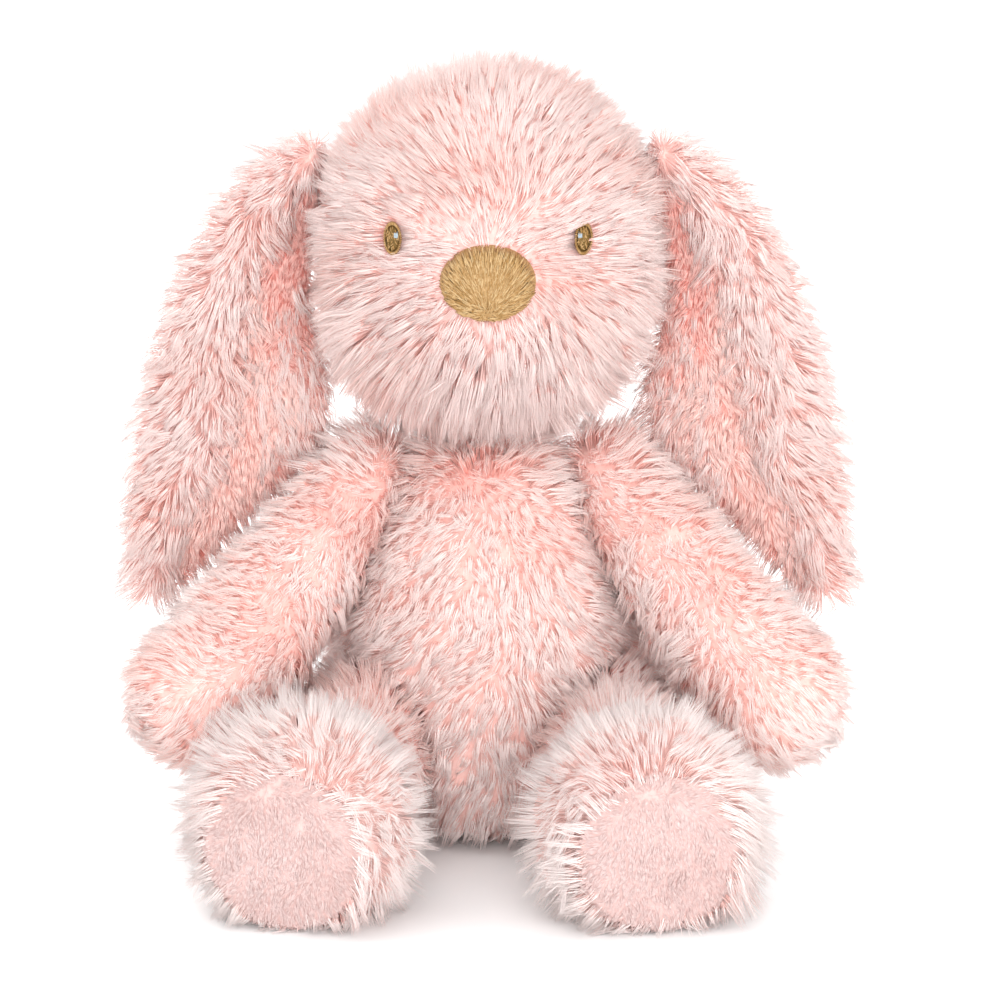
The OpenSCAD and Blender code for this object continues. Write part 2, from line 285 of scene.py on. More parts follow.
def bands(rows, cols, first=0, inwards=False):
    """The quads of rows bands between closed rings of cols points, which begin at point first."""
    out = []
    for i in range(rows):
        for j in range(cols):
            a, b = first + i * cols + j, first + i * cols + (j + 1) % cols
            out.append((a, b, b + cols, a + cols) if inwards else (a, a + cols, b + cols, b))
    return out


def ends(rings, cols):
    """The two faces that close a tube of that many rings."""
    return [tuple(reversed(range(cols))), tuple(range((rings - 1) * cols, rings * cols))]


def vertex_normals(verts, tris):
    a, b, c = (verts[tris[:, i]] for i in range(3))
    n = np.cross(b - a, c - a)
    out = np.zeros_like(verts)
    for i in range(3):
        np.add.at(out, tris[:, i], n)
    return unit(out)


def with_modifiers(o):
    """Applies every modifier of o."""
    dg = bpy.context.evaluated_depsgraph_get()
    dg.update()
    me = bpy.data.meshes.new_from_object(o.evaluated_get(dg))
    o.modifiers.clear()
    old = o.data
    o.data = me
    bpy.data.meshes.remove(old)


# ---------- stuffed skins ----------

VOXEL_MM = 4.5
START_INSET = 1.6
SWELL_CAP = 3.0
SKIN_T = 1.2
PILE_BASE_T = 3.0
PRESSURE = 4.0
SIM_FRAMES = 20
FILLING_GAP = 0.8


def swell(cores):
    """Blows up the stuffed pieces as cloth, all at once, and keeps each point near where it began."""
    before = {}
    for o in cores:
        before[o.name] = points_of(o)
        cloth = o.modifiers.new("Cloth", "CLOTH")
        cloth.settings.quality = 4
        cloth.settings.mass = 0.2
        cloth.settings.use_pressure = True
        cloth.settings.uniform_pressure_force = PRESSURE
        cloth.settings.effector_weights.gravity = 0
        cloth.collision_settings.use_collision = False
        cloth.point_cache.frame_start = 1
        cloth.point_cache.frame_end = SIM_FRAMES
    for f in range(1, SIM_FRAMES + 1):
        bpy.context.scene.frame_set(f)
    for o in cores:
        with_modifiers(o)
        moved = points_of(o) - before[o.name]
        far = np.linalg.norm(moved, axis=1, keepdims=True)
        moved *= np.minimum(1, SWELL_CAP / np.maximum(far, 1e-6))
        set_points(o, before[o.name] + moved)
    bpy.context.scene.frame_set(1)


def core_from(node):
    """A remeshed copy of a stuffing node, a little smaller than it."""
    o = placed("core_" + node, NODES[node].data.copy())
    remesh = o.modifiers.new("Remesh", "REMESH")
    remesh.mode = "VOXEL"
    remesh.voxel_size = VOXEL_MM * MM
    smooth = o.modifiers.new("Smooth", "SMOOTH")
    smooth.factor = 0.5
    smooth.iterations = 4
    with_modifiers(o)
    verts = points_of(o)
    normals = vertex_normals(verts, triangles(faces_of(o)))
    set_points(o, verts - normals * START_INSET)
    return o


def refine(o):
    sub = o.modifiers.new("Subdivision", "SUBSURF")
    sub.levels = 1
    with_modifiers(o)


class Skin:
    """A closed surface whose faces are shared out among panels."""

    def __init__(self, verts, faces, panel_of):
        self.verts, self.faces = verts, faces
        self.tris = triangles(faces)
        self.normals = vertex_normals(verts, self.tris)
        centres = np.array([verts[list(f)].mean(0) for f in faces])
        self.panel = panel_of(centres)
        self.tri_panel = np.repeat(self.panel, [len(f) - 2 for f in faces])

    def roots(self, panel, density):
        """Places and normals scattered evenly over one panel, density of them to the square millimetre."""
        tris = self.tris[self.tri_panel == panel]
        a, b, c = (self.verts[tris[:, i]] for i in range(3))
        area = np.linalg.norm(np.cross(b - a, c - a), axis=1) / 2
        total = np.cumsum(area)
        n = int(total[-1] * density)
        pick = np.searchsorted(total, (np.arange(n) + RNG.random(n)) / n * total[-1]).clip(0, len(tris) - 1)
        u, v = RNG.random((2, n, 1))
        flip = (u + v) > 1
        u, v = np.where(flip, 1 - u, u), np.where(flip, 1 - v, v)
        w = 1 - u - v
        p = a[pick] * w + b[pick] * u + c[pick] * v
        na, nb, nc = (self.normals[tris[pick, i]] for i in range(3))
        return p, unit(na * w + nb * u + nc * v)

    def panel_object(self, name, panel, material, rise):
        """One panel as a sheet of fabric, SKIN_T thick and as much more as rise adds, closed round its edge."""
        faces = [f for f, p in zip(self.faces, self.panel) if p == panel]
        used = np.unique(np.concatenate([np.array(f) for f in faces]))
        new = {old: i for i, old in enumerate(used)}
        top = [tuple(new[v] for v in f) for f in faces]
        n = len(used)
        out = self.normals[used]
        verts = np.concatenate([self.verts[used] + out * rise[used, None], self.verts[used] - out * SKIN_T])
        edges = set()
        for f in top:
            for i in range(len(f)):
                edges.add((f[i], f[(i + 1) % len(f)]))
        rim = [(b, a, a + n, b + n) for a, b in edges if (b, a) not in edges]
        below = [tuple(v + n for v in reversed(f)) for f in top]
        return mesh_object(name, verts, top + below + rim, [material])


# ---------- pile ----------

# A fibre is RINGS rings and a point: how far each is drawn into its wisp, the bend from the skin's normal over
# each length, and each ring's share of the radius.
RINGS = 2
CLUMP_PULL = np.array([0.0, 0.3, 0.66])
BEND = np.radians([32.0, 66.0])
TAPER = np.array([1.0, 0.85])
WIDTH_SPREAD = 0.15
SUNK = 0.4

# How unevenly the fibres turn, lift and differ in length: from tuft to tuft, wisp to wisp and fibre to fibre.
MESS = (0.28, 0.20, 0.08)
LIFT_SPREAD = (0.16, 0.12, 0.08)
LENGTH_SPREAD = (0.10, 0.10, 0.07)
SWIRL = 0.3
STRAY_SHARE = 0.03
STRAY_LIFT = 0.35
TOP_LIFT = 0.45

# How much the skin's normal softens a fibre's shading, and the waves of lighter and darker patches.
SOFT_SHADE = 0.3
PATCH_WAVES = np.array([[0.11, 0.05, 0.08], [-0.06, 0.09, 0.16]])
PATCH_DEPTH = 0.45
# LIGHTER shifts every fibre towards paler tints and TINT_SPREAD scatters them at random; SHADE_STEP is how many
# tints darker a fibre in full painted shade is, and SHADE_REACH how far from another part that painted shade
# reaches.
LIGHTER = 0.2
SHADE_STEP = 1.8
TINT_SPREAD = 0.6
SHADE_REACH = 16.0


def nearest(centres, points):
    tree = kdtree.KDTree(len(centres))
    for i, c in enumerate(centres):
        tree.insert(c, i)
    tree.balance()
    return np.array([tree.find(p)[1] for p in points])


def spun(v, axis, angle):
    """v turned about a perpendicular unit axis."""
    c, s = np.cos(angle)[:, None], np.sin(angle)[:, None]
    return v * c + np.cross(axis, v) * s


def uneven(middle_value, spread, tufts, wisps):
    """Values that differ from tuft to tuft, from wisp to wisp and from fibre to fibre."""
    out = middle_value + RNG.normal(0, spread[0], tufts.max() + 1)[tufts]
    out = out + RNG.normal(0, spread[1], wisps.max() + 1)[wisps]
    return out + RNG.normal(0, spread[2], len(tufts))


def grow(name, p, n, comb, tints, length, body, width=0.155, slot="long_pile", tuft=120, wisp=13,
         mess=MESS, rise=0.0, soft=SOFT_SHADE, clear=None, painted_shade=0.0):
    """Pile from the places p with the normals n: tapered fibres, gathered into wisps within parted tufts.
    comb is the direction they lie in, rise lifts them more upright, and the painted shade darkens their tints
    for the shade of other parts; below 0 it is painted light and makes them paler.
    clear(points) is true where no fibre may pass."""
    count = len(p)
    swirl = (np.sin(p[:, [1, 2, 0]] / 11.0 + [0.4, 2.1, 4.4])
             + np.sin(p[:, [2, 0, 1]] / 6.5 + [1.3, 3.0, 0.2]) * 0.5)
    comb = tangential(unit(comb) + SWIRL * swirl, n)
    tufts = nearest(p[RNG.choice(count, max(2, count // tuft), replace=False)], p)
    wisp_heads = RNG.choice(count, max(2, count // wisp), replace=False)
    wisps = nearest(p[wisp_heads], p)
    side = spun(comb, n, uneven(0.0, mess, tufts, wisps))
    lift = uneven(0.0, LIFT_SPREAD, tufts, wisps) * (mess[0] / MESS[0]) - rise - TOP_LIFT * n[:, 2].clip(0, 1)
    long = length * uneven(1.0, LENGTH_SPREAD, tufts, wisps).clip(0.5, 1.4)
    stray = RNG.random(count) < STRAY_SHARE
    lift = np.where(stray, lift - STRAY_LIFT, lift)
    curve = [p - n * SUNK]
    for k in range(RINGS):
        a = (BEND[k] + lift * (0.7 + 0.3 * k)).clip(0.05, 1.45)
        step = n * np.cos(a)[:, None] + side * np.sin(a)[:, None]
        curve.append(curve[-1] + step * (long / RINGS)[:, None])
    curve = np.stack(curve, 1)
    heads = curve[wisp_heads][wisps]
    shift = (p - p[wisp_heads][wisps])[:, None, :] * 0.25
    pull = CLUMP_PULL[None, :, None] * np.where(stray, 0.2, 1.0)[:, None, None]
    curve = curve * (1 - pull) + (heads + shift) * pull
    keep = np.ones(count, bool)
    if clear is not None:
        root = curve[:, :1]
        for _ in range(6):
            hit = clear(curve[:, -1]) | clear((curve[:, 1] + curve[:, 2]) / 2)
            curve[hit] = root[hit] + (curve[hit] - root[hit]) * 0.82
        keep = ~(clear(curve[:, -1]) | clear(curve[:, 1]))
    curve[:, 1:, 2] = np.maximum(curve[:, 1:, 2], 0.4 + 0.6 * RNG.random((count, RINGS)))
    curve = curve[keep]
    count = len(curve)
    radius = width * TAPER[None, :] * (1 + RNG.normal(0, WIDTH_SPREAD, (count, 1))).clip(0.6, 1.4)
    along = unit(curve[:, 1:] - curve[:, :-1])
    phase = RNG.random(count) * math.tau
    rings = []
    for k in range(RINGS):
        d = along[:, k] if k == 0 else unit(along[:, k - 1] + along[:, k])
        u = unit(np.cross(d, UP + 0.01))
        v = np.cross(d, u)
        for j in range(3):
            a = phase + j * math.tau / 3
            rings.append(curve[:, k] + (u * np.cos(a)[:, None] + v * np.sin(a)[:, None]) * radius[:, k, None])
    verts = np.stack([*rings, curve[:, -1]], 1)
    centre = np.concatenate([np.repeat(curve[:, :RINGS], 3, axis=1), curve[:, -1:] - along[:, -1:]], 1)
    shading = unit(unit(verts - centre) * (1 - soft) + n[keep][:, None] * soft)
    verts[:, :, 2] = np.maximum(verts[:, :, 2], 0.05)
    per = 3 * RINGS + 1
    base = (np.arange(count) * per)[:, None]
    quads = [base + np.array([f]) for f in bands(RINGS - 1, 3, inwards=True)]
    last = 3 * (RINGS - 1)
    tri = [base + np.array([[2, 1, 0]])]
    tri += [base + np.array([[last + j, last + (j + 1) % 3, per - 1]]) for j in range(3)]
    shades = len(tints) // 2
    # Each fibre's tint comes from patches of tone, a shift to paler, darker tints for its painted shade, and
    # chance.
    patch = np.sin(p[keep] @ PATCH_WAVES[0] + 0.7) + np.sin(p[keep] @ PATCH_WAVES[1] + 2.1)
    painted_shade = np.broadcast_to(painted_shade, keep.shape)[keep]
    even = (shades - 1) / 2 * (1 + PATCH_DEPTH * patch) + LIGHTER - SHADE_STEP * painted_shade
    shade = np.round(even + RNG.normal(0, TINT_SPREAD, count)).clip(0, shades - 1).astype(int)
    tint = np.concatenate([shade] * (len(quads) + 1) + [shade + shades] * 3)
    o = mesh_object(name, verts.reshape(-1, 3), [np.concatenate(quads), np.concatenate(tri)], tints, tint)
    o.data.normals_split_custom_set_from_vertices(shading.reshape(-1, 3))
    return belongs(o, body)


# ---------- stuffed parts ----------


def one_panel(c):
    return np.zeros(len(c), int)


def torso_panel(c):
    out = np.where(c[:, 1] < BODY_AXIS[1], 0, np.where(c[:, 0] < 0, 1, 2))
    return np.where(c[:, 2] < SEAT_SEAM_Z, 3, out)


def head_panel(c):
    return np.where(np.abs(c[:, 0]) < GUSSET_HALF, 0, np.where(c[:, 0] < 0, 1, 2))


def in_frame(points, origin, rot):
    return (points - origin) @ rot


def limb_panel(origin, rot, axis, sign):
    return lambda c: np.where(in_frame(c, origin, rot)[:, axis] * sign > 0, 0, 1)


PARTS = {"torso_stuffing": torso_panel, "head_stuffing": head_panel,
         "tail_stuffing": one_panel}
for key, sign in SIDES.items():
    PARTS["arm_stuffing_" + key] = limb_panel(SHOULDER[key], ARM_FRAME[key], 1, 1)
    PARTS["leg_stuffing_" + key] = limb_panel(HIP[key], LEG_FRAME[key], 0, sign)

cores = {node: core_from(node) for node in PARTS}
swell(list(cores.values()))
skins = {}
for node, core in cores.items():
    refine(core)
    skins[node] = Skin(points_of(core), faces_of(core), PARTS[node])
    bpy.data.objects.remove(core)


# ---------- where pile may not grow ----------


def capsule(p, a, b, ra, rb):
    """Distance outside a limb that goes from radius ra at a to rb at b."""
    ab = b - a
    t = (((p - a) @ ab) / (ab @ ab)).clip(0, 1)
    return np.linalg.norm(p - a - t[:, None] * ab, axis=1) - (ra + (rb - ra) * t)


HAND_AT = 101.0
ARM_RADII = (13.5, 20.5)
LEG_RADII = (22.0, 28.0)
UNDER_SKIN = 4.0
TORSO_Z = [0, 8, 22, 46, 70, 95, 115, 130, 140, 143]
TORSO_R = [40, 47, 53, 56, 53, 44, 34, 24, 11, 3]
TORSO_TOP = 140.0
LIMB_SHAPES = {}
for key in SIDES:
    hand = SHOULDER[key] + ARM_FRAME[key] @ np.array([0, 0, HAND_AT])
    foot = HIP[key] + LEG_FRAME[key] @ np.array([0, -FOOT_AT, 0])
    LIMB_SHAPES["arm_" + key] = (SHOULDER[key], hand, *ARM_RADII)
    LIMB_SHAPES["leg_" + key] = (HIP[key], foot, *LEG_RADII)


def head_distance(p):
    """About how far p is outside the head's fabric."""
    q = (p - HEAD_MID) / [HEAD_R - UNDER_SKIN, HEAD_R - UNDER_SKIN, HEAD_HALF - UNDER_SKIN]
    skull = (np.linalg.norm(q, axis=1) - 1) * HEAD_R
    return np.minimum(skull, np.linalg.norm(p - MUZZLE, axis=1) - MUZZLE_R + UNDER_SKIN)


def torso_distance(p):
    """About how far p is outside the body's fabric."""
    r = np.interp(p[:, 2], TORSO_Z, TORSO_R) - UNDER_SKIN
    return np.maximum(np.hypot(p[:, 0], p[:, 1] - BODY_AXIS[1]) - r, p[:, 2] - TORSO_TOP)


def other_part(q, own):
    """How far the points q are from the nearest stuffed part but their own. Below 0 they are inside it."""
    far = [capsule(q, *shape) for name, shape in LIMB_SHAPES.items() if name != own]
    if own != "head":
        far.append(head_distance(q))
    if own != "torso":
        far.append(torso_distance(q))
    return np.min(far, axis=0)


def hidden_under(p, n, own):
    """True for roots that another stuffed part covers."""
    return other_part(p + n * 3.0, own) < 0


def in_shade(p, n, own):
    """Painted shade: 1 for roots right under another part, falling to 0 where it is SHADE_REACH away from the
    fibres' ends.
    """
    return (1 - other_part(p + n * 10.0, own) / SHADE_REACH).clip(0, 1)


def fit_out(node, body, panels, own, material):
    """The filling and the fabric panels of one stuffed part. panels are CAD nodes in the panel numbers' order.
    Where no other part lies against it, the fabric is as thick as its pile is dense."""
    skin = skins[node]
    rise = PILE_BASE_T * ~hidden_under(skin.verts, skin.normals, own)
    inside = skin.verts - skin.normals * (SKIN_T + FILLING_GAP)
    filling = mesh_object("filling_" + node.replace("_stuffing", ""), inside, skin.faces, [FILLING])
    belongs(filling, body, node)
    for i, panel in enumerate(panels):
        o = skin.panel_object("fabric_" + panel, i, material, rise)
        belongs(o, body, panel)


fit_out("torso_stuffing", "torso",
        ["torso_front_panel", "torso_back_panel_minus_x", "torso_back_panel_plus_x", "seat_panel"],
        "torso", BACKING)
fit_out("head_stuffing", "head", ["head_gusset", "head_side_panel_minus_x", "head_side_panel_plus_x"], "head",
        HEAD_BACKING)
fit_out("tail_stuffing", "torso", ["tail_shell"], "tail", BACKING)
for key in SIDES:
    fit_out("arm_stuffing_" + key, LIMB[key] + "_arm", ["arm_front_panel_" + key, "arm_back_panel_" + key],
            "arm_" + key, BACKING)
    fit_out("leg_stuffing_" + key, LIMB[key] + "_leg", ["leg_outer_panel_" + key, "leg_inner_panel_" + key],
            "leg_" + key, FOOT_BACKING)

PIECE_LIMIT = 19000


def pile_on(name, node, panel, body, own, density, comb_of, tints, length,
            where=None, rise=0.0, painted_shade=None, **more):
    """The pile of one panel, in as many pieces from front to back as its number of fibres asks for. comb_of and
    the painted shade come from the roots and their normals, and so do length and rise unless they are numbers."""
    p, n = skins[node].roots(panel, density)
    keep = ~hidden_under(p, n, own)
    if where is not None:
        keep &= where(p)
    p, n = p[keep], n[keep]
    pieces = 1 + len(p) // PIECE_LIMIT
    for i, part in enumerate(np.array_split(np.argsort(p[:, 1]), pieces)):
        q, m = p[part], n[part]
        title = name if pieces == 1 else f"{name}_{i + 1}"
        grow(title, q, m, comb_of(q, m), tints, length(q, m) if callable(length) else length, body,
             rise=rise(q, m) if callable(rise) else rise,
             painted_shade=painted_shade(q, m) if painted_shade else in_shade(q, m, own), **more)


# ---------- pile of the head ----------

EYES = {k: middle("eye_" + k) for k in SIDES}
EYE_HALF = {k: (box_mm("eye_" + k)[1] - box_mm("eye_" + k)[0]) / 2 for k in SIDES}
NOSE_HALF = (NOSE_HIGH - NOSE_LOW) / 2 * 0.94


def nose_share(x, z):
    """Below 1 inside the nose's outline."""
    return np.hypot((x - NOSE_MID[0]) / NOSE_HALF[0], (z - NOSE_MID[2]) / NOSE_HALF[2])


def on_face_feature(p):
    front = p[:, 1] < HEAD_MID[1] - 10
    hit = nose_share(p[:, 0], p[:, 2]) < 1.0
    for key, eye in EYES.items():
        dx = (p[:, 0] - eye[0] - SIDES[key] * 0.6) / (EYE_HALF[key][0] * 0.9)
        dz = (p[:, 2] - eye[2]) / (EYE_HALF[key][2] * 0.95)
        hit |= dx * dx + dz * dz < 1
    return hit & front


def head_comb(p, n):
    """Outwards from the bridge of the nose all over the head, falling at the cheeks and the back."""
    away = p - np.array([0, NOSE_LOW[1], NOSE_MID[2] + 6])
    fall = np.interp(p[:, 1], [-40, 20, 70], [0.25, 0.45, 1.1]) + np.where(p[:, 2] < 200, 0.25, 0)
    return unit(tangential(away, n)) - UP * fall[:, None]


def head_length(p, n):
    """Short round the nose, and longest under the chin, at the nape, on the cheeks and round the ears' roots.
    The right cheek is a little the fuller."""
    chin = ((188 - p[:, 2]) / 25).clip(0, 1) * (p[:, 1] < 25)
    nape = ((176 - p[:, 2]) / 14).clip(0, 1) * (p[:, 1] >= 25)
    near = np.minimum(nose_share(p[:, 0], p[:, 2]) - 1, 1).clip(0, 1)
    near = np.where(p[:, 1] < 0, near, 1)
    cheek = np.exp(-(((p[:, 2] - 189) / 15) ** 2)) * np.abs(n[:, 0])
    root = np.exp(-((np.linalg.norm(np.abs(p) - EAR_ROOT["plus_x"], axis=1) / 22) ** 2))
    jowl = np.exp(-(((p[:, 2] - 168) / 12) ** 2)) * (-n[:, 0]).clip(0, 1)
    return 10.0 + 3.0 * near + 5.0 * jowl + 4.5 * chin + 6.0 * nape + 4.5 * cheek + 6.5 * root


def head_rise(_, n):
    """How much more upright the fibres are where the head faces down."""
    return 0.55 * (-n[:, 2]).clip(0, 1)


def head_painted_shade(p, n):
    """Painted shade where another part lies near, but not on the face; the muzzle is a little paler than the
    rest, painted light where the front lamp falls on it.
    """
    muzzle = (p[:, 1] < -10) * (p[:, 2] < 195)
    return in_shade(p, n, "head") * (p[:, 1] > -10) - 0.35 * muzzle


for panel, name in enumerate(["gusset", "side_minus_x", "side_plus_x"]):
    pile_on("pile_head_" + name, "head_stuffing", panel, "head", "head", 2.5, head_comb, HEAD_PINK, head_length,
            rise=head_rise, painted_shade=head_painted_shade, clear=on_face_feature, mess=(0.20, 0.16, 0.08))

# ---------- pile of the body and limbs ----------


def torso_comb(p, n):
    """Down, and outwards at the sides."""
    out = np.stack([p[:, 0] / 60, np.zeros(len(p)), np.full(len(p), -1.0)], 1)
    return out + n * 0.01


def chest_top(p):
    """0 up to the chest, rising to 1 at the shoulders."""
    return ((p[:, 2] - 110) / 20).clip(0, 1)


def torso_painted_shade(p, n):
    """The belly is a little paler than the chest, painted light where the front lamp falls; near other parts
    the fibres get a little painted shade.
    """
    belly = ((110 - p[:, 2]) / 20).clip(0, 1)
    return 0.3 * in_shade(p, n, "torso") - 0.5 * belly


def shoulder(p):
    """0 along the arm, rising to 1 at its top."""
    return ((p[:, 2] - 112) / 15).clip(0, 1)


def arm_comb(key):
    """Along the arm and outwards, in slow waves."""
    axis = ARM_FRAME[key] @ np.array([0, 0, 1.0])

    def comb(p, _):
        wave = 0.3 * np.sin(p[:, 2:] / 13.0 + p[:, :1] / 17.0)
        return axis * 0.8 + np.array([SIDES[key] * 0.55, 0, -0.35]) + wave * np.array([0.3, 0.2, 1.0])

    return comb


def leg_comb(key):
    """Along the thigh to the foot, and on the foot outwards from the sole's middle."""

    def comb(p, _):
        local = in_frame(p, HIP[key], LEG_FRAME[key])
        along = -local[:, 1] / FOOT_AT
        outward = local * [1, 0, 1]
        blend = ((along - 0.75) / 0.3).clip(0, 1)[:, None]
        rim = ((along - 1.12) / 0.12).clip(0, 1)[:, None]
        spread, ahead = 0.6 + 0.5 * rim, 0.8 - 0.5 * rim
        lengthwise = np.array([0, -1.0, 0]) * (1 - blend + ahead * blend) + unit(outward) * blend * spread
        return lengthwise @ LEG_FRAME[key].T - UP * 0.25

    return comb


TORSO_DENSITY = {"front": 2.1, "back_minus_x": 1.4, "back_plus_x": 1.4, "seat": 0.8}
for panel, (name, density) in enumerate(TORSO_DENSITY.items()):
    pile_on("pile_torso_" + name, "torso_stuffing", panel, "torso", "torso", density, torso_comb, PINK,
            lambda p, n: 12.5 + 5.5 * chest_top(p), rise=lambda p, n: 0.3 * chest_top(p), painted_shade=torso_painted_shade)
pile_on("pile_tail", "tail_stuffing", 0, "torso", "tail", 2.6,
        lambda p, n: np.array([0, 0.5, -0.8]) + (p - middle("tail_shell")) / 30, PINK,
        12.0, rise=0.2)

# For the thigh and the foot: the tints, the fibres' length and rise, how much the painted shade counts, and how
# much paler it is.
ZONES = {"thigh": (PINK, 14.0, 0.15, 0.8, 0.0), "foot": (FOOT_PINK, 16.0, 0.35, 0.4, 0.3)}
FOOT_FROM = 0.62
for key in SIDES:
    for panel, name in enumerate(["front", "back"]):
        pile_on(f"pile_arm_{name}_{key}", "arm_stuffing_" + key, panel, LIMB[key] + "_arm", "arm_" + key, 2.2,
                arm_comb(key), PINK, lambda p, n: 12.5 + 3.5 * shoulder(p), rise=lambda p, n: 0.1 * shoulder(p))
    for panel, name in enumerate(["outer", "inner"]):
        for zone, (tints, length, rise, shade, paler) in ZONES.items():

            def here(p):
                local = in_frame(p, HIP[key], LEG_FRAME[key])
                on_sole = (local[:, 1] < -LEG_LEN + 7) & (np.hypot(local[:, 0], local[:, 2]) < SOLE_R - 1.0)
                on_foot = -local[:, 1] / FOOT_AT > FOOT_FROM
                return (on_foot == (zone == "foot")) & ~on_sole

            pile_on(f"pile_{zone}_{name}_{key}", "leg_stuffing_" + key, panel, LIMB[key] + "_leg",
                    "leg_" + key, 2.1, leg_comb(key), tints, length, where=here, rise=rise,
                    painted_shade=lambda p, n: in_shade(p, n, "leg_" + key) * shade - paler)

# ---------- soles ----------

SOLE_RINGS = 12
SOLE_SIDES = 64
SOLE_RISE = 2.2
SOLE_T = 2.0


def dome(radius, rise, thick):
    """A disc with a domed top about +Z, closed below."""
    verts, faces = [[0, 0, rise]], []
    for i in range(1, SOLE_RINGS + 1):
        share = i / SOLE_RINGS
        for j in range(SOLE_SIDES):
            a = j * math.tau / SOLE_SIDES
            verts.append([radius * share * math.cos(a), radius * share * math.sin(a), rise * (1 - share**2.5)])
    top = len(verts)
    for j in range(SOLE_SIDES):
        faces.append((0, 1 + j, 1 + (j + 1) % SOLE_SIDES))
    edge = top - SOLE_SIDES
    verts += [[v[0], v[1], -thick] for v in verts[edge:top]]
    faces += bands(SOLE_RINGS, SOLE_SIDES, 1)
    faces.append(tuple(reversed(range(top, top + SOLE_SIDES))))
    return np.array(verts), faces


for key in SIDES:
    verts, faces = dome(SOLE_R, SOLE_RISE, SOLE_T)
    verts = verts[:, [0, 2, 1]] * [1, -1, 1]
    verts = (verts + [0, -(LEG_LEN - SOLE_RISE), 0]) @ LEG_FRAME[key].T + HIP[key]
    skin = Skin(verts, faces, one_panel)
    if (skin.normals[0] @ (LEG_FRAME[key] @ np.array([0, -1.0, 0]))) < 0:
        faces = [tuple(reversed(f)) for f in faces]
        skin = Skin(verts, faces, one_panel)
    o = mesh_object("fabric_sole_" + key, verts, faces, [SOLE_BACKING])
    belongs(o, LIMB[key] + "_leg", "sole_" + key)
    p, n = skin.roots(0, 4.5)
    facing = n @ (LEG_FRAME[key] @ np.array([0, -1.0, 0]))
    keep = facing > 0.3
    p, n = p[keep], n[keep]
    local = in_frame(p, HIP[key], LEG_FRAME[key]) * [1, 0, 1] / SOLE_R
    far = np.linalg.norm(local, axis=1)
    comb = np.array([0.25, 0, -1.0]) + local @ LEG_FRAME[key].T * (3 * far**4)[:, None]
    grow("pile_sole_" + key, p, n, comb, SOLE_PINK, 2.8, width=0.15, body=LIMB[key] + "_leg", slot="short_pile",
         mess=(0.25, 0.12, 0.08), rise=-0.45, tuft=60, soft=0.85)

# ---------- ears ----------

# The ear from the front, as x and z: its outer edge is one cubic curve, and its inner edge is given at shares
# of its length. The two loops are the sections of its layers: across the ear from -1 to 1, and forwards or back
# from EAR_Y.
EAR_OUTER_EDGE = ([57.0, 237.0], [102.0, 228.0], [130.0, 132.0], [120.0, 80.0])
EAR_T = [0, 0.15, 0.3, 0.45, 0.6, 0.72, 0.85, 1]
EAR_INNER_X = [55, 59, 62, 56, 54, 63, 86, 115]
EAR_INNER_Z = [219, 203, 183, 160, 139, 125, 106, 78]
EAR_Y = 33.0
EAR_STATIONS = 44
EAR_ROUND = 44
OUTER_LOOP = [(-1.0, 0.6), (-0.6, 4.0), (0, 5.2), (0.6, 4.0), (0.92, 0.6), (0.93, -2.6), (0.66, -6.4),
              (0.34, -6.6), (0.17, -5.0), (0.14, -1.4), (-0.5, -0.4)]
LINING_LOOP = [(-0.95, -0.7), (-0.5, -0.9), (0.06, -1.9), (0.1, -4.2), (-0.3, -4.4), (-0.75, -3.2)]


def smooth_loop(points, n):
    """n points on a closed smooth curve through the given ones."""
    pts = np.array(points, float)
    m = len(pts)
    s = np.arange(n) / n * m
    i = s.astype(int)
    f = (s - i)[:, None]
    a, b, c, d = (pts[(i + k) % m] for k in (-1, 0, 1, 2))
    return b + 0.5 * f * (c - a + f * (2 * a - 5 * b + 4 * c - d + f * (3 * (b - c) + d - a)))


def ear_edges(t):
    """The inner and the outer edge at the shares t of the ear's length."""
    a, b, c, d = (np.array(q) for q in EAR_OUTER_EDGE)
    s = t[:, None]
    outer = a * (1 - s) ** 3 + 3 * b * s * (1 - s) ** 2 + 3 * c * s * s * (1 - s) + d * s**3
    kernel = np.linspace(-0.06, 0.06, 7)
    spread = (t[:, None] + kernel).clip(0, 1)
    inner = np.stack([np.interp(spread, EAR_T, line).mean(1) for line in (EAR_INNER_X, EAR_INNER_Z)], 1)
    return inner, outer


def ear_points(loop, side, t):
    """Rings of points along the ear for one closed section."""
    inner, outer = ear_edges(t)
    thick = np.interp(t, [0, 0.3, 0.6, 0.8, 1], [0.8, 1, 1, 0.75, 0.4])
    share = (loop[None, :, 0] + 1) / 2
    share = 0.03 + share * 0.94
    xz = inner[:, None, :] * (1 - share[..., None]) + outer[:, None, :] * share[..., None]
    wave = 1.6 * np.sin(t * 9.0)[:, None] * (share - 0.5)
    y = EAR_Y + loop[None, :, 1] * thick[:, None] + wave
    return np.stack([xz[..., 0] * side, y, xz[..., 1]], -1)


def ear_skin(loop_points, side):
    """One layer of an ear as a closed surface."""
    loop = smooth_loop(loop_points, EAR_ROUND)
    t = 0.01 + 0.99 * np.linspace(0, 1, EAR_STATIONS)
    rings = ear_points(loop, side, t)
    verts = rings.reshape(-1, 3)
    faces = bands(EAR_STATIONS - 1, EAR_ROUND, inwards=True) + ends(EAR_STATIONS, EAR_ROUND)
    tris = triangles(faces)
    a, b, c = (verts[tris[:, i]] for i in range(3))
    if (a * np.cross(b, c)).sum() < 0:
        faces = [tuple(reversed(f)) for f in faces]
    return verts, faces


EAR_GRID = np.meshgrid(np.linspace(0, 1, 60), np.linspace(0, 1, 25), indexing="ij")
EAR_GRID_T, EAR_GRID_SHARE = [g.ravel() for g in EAR_GRID]


